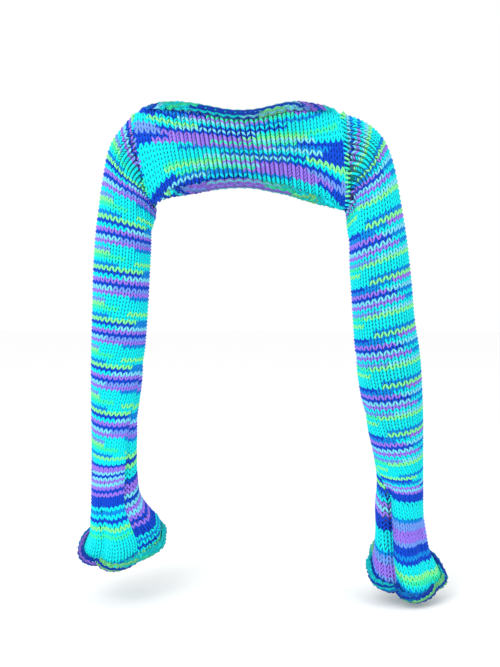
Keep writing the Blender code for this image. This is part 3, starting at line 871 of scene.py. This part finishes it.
# The runs of the panel's dye, in thirds of a row.
PANEL_DYE = (
    (CYAN, 1.3), (ROYAL, 1.0), (LIME, 0.7), (CYAN, 1.0), (PALE, 1.0), (CYAN, 1.4), (AQUA, 1.2),
    (ROYAL, 1.2), (PERIWINKLE, 0.9), (VIOLET, 1.0), (LIME, 0.8), (CYAN, 1.3), (PALE, 0.8),
    (VIOLET, 1.0), (ROYAL, 0.9), (VIOLET, 0.8), (AQUA, 1.0), (ROYAL, 1.2), (AZURE, 0.8),
    (VIOLET, 0.9), (CYAN, 1.6), (AZURE, 1.0), (PALE, 0.8), (ROYAL, 1.2), (CYAN, 2.2),
)
PANEL_START = -3.2  # row at which a repeat of the dye begins
PANEL_REPEAT = 9.09  # rows to a repeat
PANEL_YARN = Yarn(PANEL_DYE, (PANEL_START, PANEL_START + PANEL_REPEAT))
PANEL_ENDS = ((0.0, left_sleeve), (1.0, right_sleeve))


def seam_line(sleeve, share):
    """The armhole seam at shares of its length, with the way out of the cloth and down the sleeve."""
    angle = np.linspace(SEAM_TOP, SEAM_FOOT, SEAM_SAMPLES)
    row = -SEAM_ALLOWANCE / ROW
    line = sleeve_cloth(sleeve, row, angle)[0]
    lengths = np.concatenate(([0.0], np.cumsum(np.linalg.norm(np.diff(line, axis=0), axis=1))))
    angle = np.interp(share * lengths[-1], lengths, angle)
    down = sleeve_frame(sleeve, np.zeros_like(angle), angle)[1]
    line, facing = sleeve_cloth(sleeve, row, angle)
    return line - down * SEAM_GAP, facing, down


def band_at(across, down):
    """The panel as a band between its two edges, before its sides are drawn to the seams."""
    place = across - np.sin(TURN * across) / SIDE_STRETCH
    edges = []
    for edge in (NECK_EDGE, HEM_EDGE):
        knots = column(edge, EDGE, "x")
        x = knots[0] + (knots[-1] - knots[0]) * place
        y = smooth_curve(knots, column(edge, EDGE, "y"), x)
        z = smooth_curve(knots, column(edge, EDGE, "z"), x)
        edges.append(stacked(x, y, z))
    point = edges[0] + (edges[1] - edges[0]) * down[..., None]
    point[..., 1] -= PANEL_BELLY * np.sin(math.pi * down)
    return point


def panel_at(across, down):
    """Points of the panel at shares of its width and of its height."""
    point = band_at(across, down)
    for end, sleeve in PANEL_ENDS:
        pull = 1 - fade(np.abs(across - end) / SEAM_REACH)
        to_seam = seam_line(sleeve, down)[0] - band_at(np.full_like(down, end), down)
        point = point + pull[..., None] * to_seam
    return point


def rolled_length(across):
    """Length of cloth in the rolled edges at shares of the panel's width; little at the seams."""
    from_seam = np.minimum(across, 1.0 - across)
    return ROLL_LENGTH * (ROLL_END + (1.0 - ROLL_END) * fade(from_seam / ROLL_END_WIDTH))


def panel_cloth(across, row):
    """Points and facings of the panel at rows of its middle, with its rolled neck edge and hem."""
    across, row = np.broadcast_arrays(across, row * 1.0)
    down = np.clip(row / PANEL_ROWS, 0.0, 1.0)
    point = panel_at(across, down)
    above = panel_at(across, np.clip(down - STEP, 0.0, 1.0))
    below = panel_at(across, np.clip(down + STEP, 0.0, 1.0))
    down_it = unit(below - above)
    left = panel_at(np.clip(across - STEP, 0.0, 1.0), down)
    right = panel_at(np.clip(across + STEP, 0.0, 1.0), down)
    outwards = unit(np.cross(down_it, right - left))
    off_edge = np.where((row < 0)[..., None], -down_it, down_it)
    for end, sleeve in PANEL_ENDS:
        near = (1 - fade(np.abs(across - end) / LEAN_WIDTH))[..., None]
        down_sleeve = seam_line(sleeve, down)[2]
        along_sleeve = np.sum(off_edge * down_sleeve, axis=-1, keepdims=True) * down_sleeve
        off_edge = unit(off_edge - near * (along_sleeve + ROLL_LEAN * down_sleeve))
    length = rolled_length(across)
    share = np.clip(np.maximum(-row, row - PANEL_ROWS) * ROW / length, 0.0, 1.0)
    return rolled(point, off_edge, outwards, length, ROLL_TURN * length / ROLL_LENGTH, share)


def rows_spread(share):
    """How closely the panel's rows lie at shares of its width, 1 in the middle and less at the seams."""
    from_seam = np.minimum(share, 1.0 - share)
    return SEAM_SPREAD + (1.0 - SEAM_SPREAD) * fade(from_seam / SPREAD_REACH)


def panel_place(number, share):
    """Where a knitted row of the panel lies, in rows of its middle."""
    return PANEL_ROWS / 2 + (number - PANEL_ROWS / 2) / rows_spread(share)


def panel_number(place, share):
    """The knitted row at a place, which is panel_place turned round."""
    return PANEL_ROWS / 2 + (place - PANEL_ROWS / 2) * rows_spread(share)


def panel_rows():
    """Numbers of the panel's rows, the rolled ones included."""
    edge_rows = math.ceil(ROLL_LENGTH / ROW)
    return np.arange(-edge_rows, PANEL_ROWS + edge_rows + 1)


def panel_yarn_at(number, share):
    """Where on its yarn a place in a panel's row is, and its colour there; the work is turned each row."""
    rounds = number + np.where(number % 2 == 0, 1 - share, share)
    return PANEL_YARN.along(rounds), PANEL_YARN.dye(rounds)


def knit_panel(name):
    """The panel's yarn loops, from seam to seam."""
    knitting = Knitting()
    across, height, depth = loop_path(PANEL_STITCHES)
    share = across / PANEL_STITCHES
    for number in panel_rows():
        row = panel_place(number - height, share)
        point, facing = panel_cloth(share, row)
        on_roll = fade(np.maximum(-row, row - PANEL_ROWS))
        centres, radius = laid_loops(point, facing, depth, on_roll, PANEL_FULLNESS)
        middle = panel_place(number, share)
        past = np.maximum(-middle, middle - PANEL_ROWS) * ROW
        kept = (rolled_length(share) > past).reshape(PANEL_STITCHES, LOOP_POINTS).all(axis=1)
        for first, length in runs_of(np.append(kept, False)):
            pick = first * LOOP_POINTS + np.arange(length * LOOP_POINTS)
            yarn = panel_yarn_at(number, pick / len(across))
            knitting.add(centres[pick], facing[pick], yarn, False, radius[pick])
    return knitting.piece(name)


def panel_ground(name):
    """The panel's ground cloth, with its rolled edges."""
    columns = 2 * PANEL_STITCHES
    across = np.arange(columns + 1) / columns
    edge = np.arange(1, STRIP_STEPS + 1) / STRIP_STEPS * ROLL_LENGTH / ROW
    row = np.concatenate((-edge[::-1], np.arange(PANEL_ROWS + 1.0), PANEL_ROWS + edge))
    points = panel_cloth(across, row[:, None])[0]
    ends = np.stack((across[:-1], across[1:]), axis=-1)
    middle = (row[1:] + row[:-1]) / 2
    number = np.round(panel_number(middle[:, None], ends.mean(axis=-1)))
    yarn = panel_yarn_at(number[..., None], ends)
    return ground_cloth(name, points, yarn, False, False)


SEAM_TURNS = 22  # overcast stitches along one armhole seam
SEAM_POINTS = 10  # points in one of them
SEAM_YARN_RADIUS = 0.0016
SEAM_YARN_SHARE = 8.0  # how many times as long as a seam's yarn a repeat of the dye is


def overcast_seam(sleeve, name, colours, radius, lift):
    """The yarn that overcasts the panel's side to a sleeve, as one closed coil."""
    knitting = Knitting()
    turn = TURN * np.arange(SEAM_TURNS * SEAM_POINTS + 1) / SEAM_POINTS
    share = turn / turn[-1]
    line, facing, down = seam_line(sleeve, share)
    coil = np.cos(turn)[:, None] * facing + np.sin(turn)[:, None] * down
    run = np.minimum((share * len(colours)).astype(int), len(colours) - 1)
    yarn = (share / SEAM_YARN_SHARE, np.array(colours)[run])
    knitting.add(line + facing * lift + coil * radius, coil, yarn, False, SEAM_YARN_RADIUS)
    return knitting.piece(name)


LEFT_SEAM_DYE = (LIME, CYAN, ROYAL, PERIWINKLE, ROYAL, VIOLET, ROYAL, AQUA, AQUA, ROYAL)
RIGHT_SEAM_DYE = (LIME, CYAN, CYAN, CYAN, CYAN, LIME, AQUA, LIME, AQUA, LIME, CYAN)
overcast_seam(left_sleeve, "armhole_seam_left", LEFT_SEAM_DYE, radius=0.0024, lift=0.0004)
overcast_seam(right_sleeve, "armhole_seam_right", RIGHT_SEAM_DYE, radius=0.0034, lift=0.002)

panel_loops = knit_panel("back_panel_loops")
back_ground = panel_ground("back_panel_ground")
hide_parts("back_panel")

# ---------------------------------------------------------------------------------------
# Studio: a pale floor under the cuffs, a white surround, two soft lights and the camera,
# which looks at the back of the garment from just above its middle.
# ---------------------------------------------------------------------------------------

FLOOR_BELOW = 0.01  # how far the floor lies under the cuffs
FLOOR_HALF = 6.0


def plain_floor():
    """A large pale sheet on which no part of the garment rests."""
    finish = Finish("pale_floor")
    finish.shader.inputs["Base Color"].default_value = (0.97, 0.97, 0.97, 1.0)
    finish.shader.inputs["Roughness"].default_value = 0.9
    place = Matrix.Translation((0.0, 0.0, cad_box[0][2] - FLOOR_BELOW))
    sheet = bmesh.new()
    bmesh.ops.create_grid(sheet, x_segments=1, y_segments=1, size=FLOOR_HALF, matrix=place)
    mesh = bpy.data.meshes.new("floor")
    sheet.to_mesh(mesh)
    sheet.free()
    mesh.materials.append(finish.material)
    floor = bpy.data.objects.new("floor", mesh)
    bpy.context.scene.collection.objects.link(floor)


def soft_light(name, place, aim, size, watts):
    """A square studio light that faces a point."""
    lamp = bpy.data.lights.new(name, "AREA")
    lamp.size = size
    lamp.energy = watts
    light = bpy.data.objects.new(name, lamp)
    light.location = place
    light.rotation_euler = (Vector(aim) - Vector(place)).to_track_quat("-Z", "Y").to_euler()
    bpy.context.scene.collection.objects.link(light)


plain_floor()
soft_light("key", place=(-1.0, -2.0, 0.9), aim=(0.0, 0.0, -0.3), size=1.6, watts=36.0)
soft_light("fill", place=(1.6, -1.4, 0.2), aim=(0.0, 0.0, -0.35), size=1.6, watts=5.0)

surround = bpy.data.worlds.new("surround")
surround.use_nodes = True
background = surround.node_tree.nodes["Background"]
background.inputs["Color"].default_value = (1.0, 1.0, 1.0, 1.0)
background.inputs["Strength"].default_value = 1.0
bpy.context.scene.world = surround
bpy.context.scene.view_settings.view_transform = "Standard"

CAMERA_PLACE = Vector((0.010, -1.8, -0.20))
CAMERA_AIM = Vector((0.010, 0.0, -0.324))
IMAGE_HEIGHT = 667  # pixels
PIXEL = 0.00145  # metres to a pixel in the garment's plane
SENSOR_HEIGHT = 36.0

lens = bpy.data.cameras.new("camera")
lens.sensor_fit = "VERTICAL"
lens.sensor_height = SENSOR_HEIGHT
lens.lens = SENSOR_HEIGHT * (CAMERA_AIM - CAMERA_PLACE).length / (IMAGE_HEIGHT * PIXEL)
camera = bpy.data.objects.new("camera", lens)
camera.location = CAMERA_PLACE
camera.rotation_euler = (CAMERA_AIM - CAMERA_PLACE).to_track_quat("-Z", "Y").to_euler()
bpy.context.scene.collection.objects.link(camera)
bpy.context.scene.camera = camera
